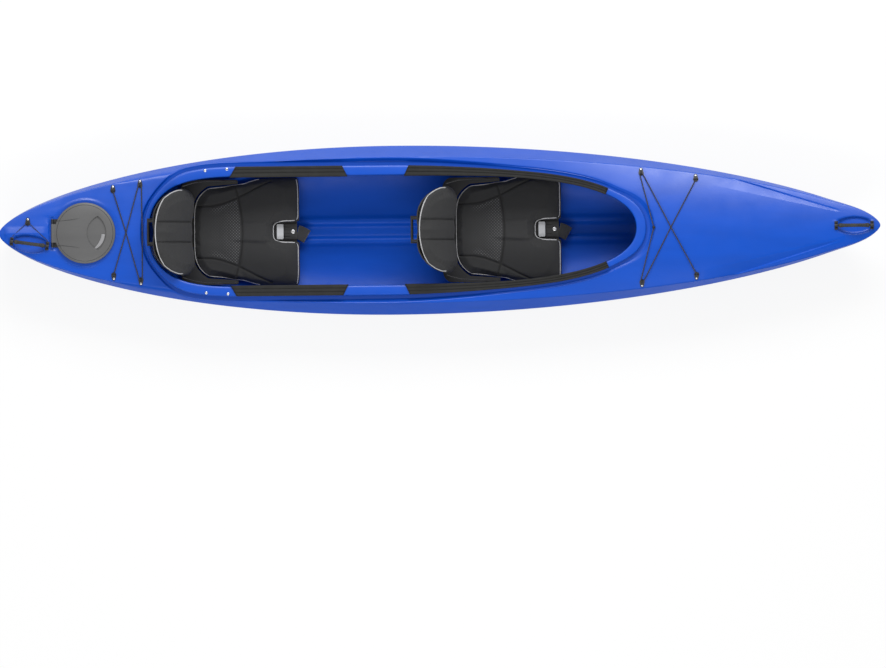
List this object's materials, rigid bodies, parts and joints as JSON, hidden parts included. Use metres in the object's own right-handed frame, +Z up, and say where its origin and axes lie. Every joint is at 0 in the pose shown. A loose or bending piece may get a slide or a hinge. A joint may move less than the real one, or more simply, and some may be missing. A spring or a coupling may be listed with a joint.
{
  "type": "tandem kayak",
  "caption": "Open-cockpit tandem kayak with framed seats, sliding foot braces, deck bungees, carrying handles and a hinged round stern hatch.",
  "frame": {"origin": "under the middle of the boat, on the keel line", "axes": "+X towards the bow, +Y to port, +Z up"},
  "size_m": [4.11, 0.7898, 0.4617],
  "materials": {
    "hull": "satin moulded polyethylene, blue",
    "foam": "closed cell foam, dark grey",
    "trim": "moulded plastic, black",
    "seal": "soft seal, black",
    "lid": "moulded plastic, dark grey",
    "pull": "webbing, light grey",
    "steel": "stainless",
    "grip": "ribbed grip, black",
    "cord": "braided cord, black",
    "pad": "ribbed pad, black",
    "rail": "moulded plastic, black",
    "seat_shell": "moulded plastic, black",
    "cushion": "woven cover over foam, charcoal",
    "post": "coated tube, black",
    "webbing": "webbing, grey",
    "block": "moulded plastic, light grey"
  },
  "bodies": {
    "boat": {"hull_shell": "hull", "stern_bulkhead": "foam", "hatch_rim": "trim", "hatch_gasket": "seal", "hatch_hinge_pin": "steel", "handle_anchors": "trim", "handle_screws": "steel", "keeper_hook": "trim", "keeper_cord": "cord", "bow_bungee": "cord", "bow_bungee_bead": "trim", "stern_bungee": "cord", "deck_eyes": "trim", "deck_hooks": "trim", "deck_screws": "steel", "rear_port_pad": "pad", "rear_starboard_pad": "pad", "front_port_pad": "pad", "front_starboard_pad": "pad", "coaming_screws": "steel", "rail_bolts": "steel", "rear_port_rail": "rail", "rear_starboard_rail": "rail", "solo_port_rail": "rail", "solo_starboard_rail": "rail", "front_port_rail": "rail", "front_starboard_rail": "rail", "rear_seat_base": "seat_shell", "rear_seat_pad": "cushion", "rear_back_pin": "steel", "rear_back_straps": "webbing", "rear_seat_bracket": "trim", "rear_seat_block": "block", "rear_pull_strap": "cord", "rear_bracket_screw": "steel"},
    "hatch_cover": {"hatch_lid": "lid", "hatch_pull": "pull"},
    "bow_carry": {"bow_handle": "grip"},
    "stern_carry": {"stern_handle": "grip"},
    "rear_port_foot": {"rear_port_pedal": "trim"},
    "rear_starboard_foot": {"rear_starboard_pedal": "trim"},
    "solo_port_foot": {"solo_port_pedal": "trim"},
    "solo_starboard_foot": {"solo_starboard_pedal": "trim"},
    "front_port_foot": {"front_port_pedal": "trim"},
    "front_starboard_foot": {"front_starboard_pedal": "trim"},
    "front_seat": {"front_seat_base": "seat_shell", "front_seat_pad": "cushion", "front_back_pin": "steel", "front_back_straps": "webbing", "front_seat_bracket": "trim", "front_seat_block": "block", "front_pull_strap": "cord", "front_bracket_screw": "steel"},
    "rear_back_frame": {"rear_back_post": "post"},
    "rear_back_rest": {"rear_back_shell": "seat_shell", "rear_back_pad": "cushion"},
    "front_back_frame": {"front_back_post": "post"},
    "front_back_rest": {"front_back_shell": "seat_shell", "front_back_pad": "cushion"}
  },
  "joints": [
    {"name": "hatch_hinge", "type": "hinge", "parent": "boat", "child": "hatch_cover", "pos_m": [-1.801, 0, 0.3243], "axis": [0, -1, 0], "range_deg": [0, 95]},
    {"name": "bow_handle_hinge", "type": "hinge", "parent": "boat", "child": "bow_carry", "pos_m": [1.9285, 0, 0.34179], "axis": [1, 0, 0], "range_deg": [-70, 70]},
    {"name": "stern_handle_hinge", "type": "hinge", "parent": "boat", "child": "stern_carry", "pos_m": [-1.908, -0.047, 0.33464], "axis": [0.9903, -0.1392, 0], "range_deg": [-10, 70]},
    {"name": "rear_port_pedal_slide", "type": "slide", "parent": "boat", "child": "rear_port_foot", "axis": [1, -0.0068, 0], "range_m": [-0.14, 0.14]},
    {"name": "rear_starboard_pedal_slide", "type": "slide", "parent": "boat", "child": "rear_starboard_foot", "axis": [1, 0.0068, 0], "range_m": [-0.14, 0.14]},
    {"name": "solo_port_pedal_slide", "type": "slide", "parent": "boat", "child": "solo_port_foot", "axis": [0.9948, -0.1017, 0], "range_m": [-0.14, 0.14]},
    {"name": "solo_starboard_pedal_slide", "type": "slide", "parent": "boat", "child": "solo_starboard_foot", "axis": [0.9948, 0.1017, 0], "range_m": [-0.14, 0.14]},
    {"name": "front_port_pedal_slide", "type": "slide", "parent": "boat", "child": "front_port_foot", "axis": [0.9728, -0.2315, 0], "range_m": [-0.14, 0.14]},
    {"name": "front_starboard_pedal_slide", "type": "slide", "parent": "boat", "child": "front_starboard_foot", "axis": [0.9728, 0.2315, 0], "range_m": [-0.14, 0.14]},
    {"name": "front_seat_slide", "type": "slide", "parent": "boat", "child": "front_seat", "axis": [1, 0, 0], "range_m": [-0.45, 0]},
    {"name": "rear_back_hinge", "type": "hinge", "parent": "boat", "child": "rear_back_frame", "pos_m": [-1.257, 0, 0.14], "axis": [0, 1, 0], "range_deg": [-2, 38]},
    {"name": "rear_back_height", "type": "slide", "parent": "rear_back_frame", "child": "rear_back_rest", "axis": [-0.2924, 0, 0.9563], "range_m": [0, 0.06]},
    {"name": "front_back_hinge", "type": "hinge", "parent": "front_seat", "child": "front_back_frame", "pos_m": [-0.032, 0, 0.14], "axis": [0, 1, 0], "range_deg": [-12, 38]},
    {"name": "front_back_height", "type": "slide", "parent": "front_back_frame", "child": "front_back_rest", "axis": [-0.2924, 0, 0.9563], "range_m": [0, 0.06]}
  ]
}
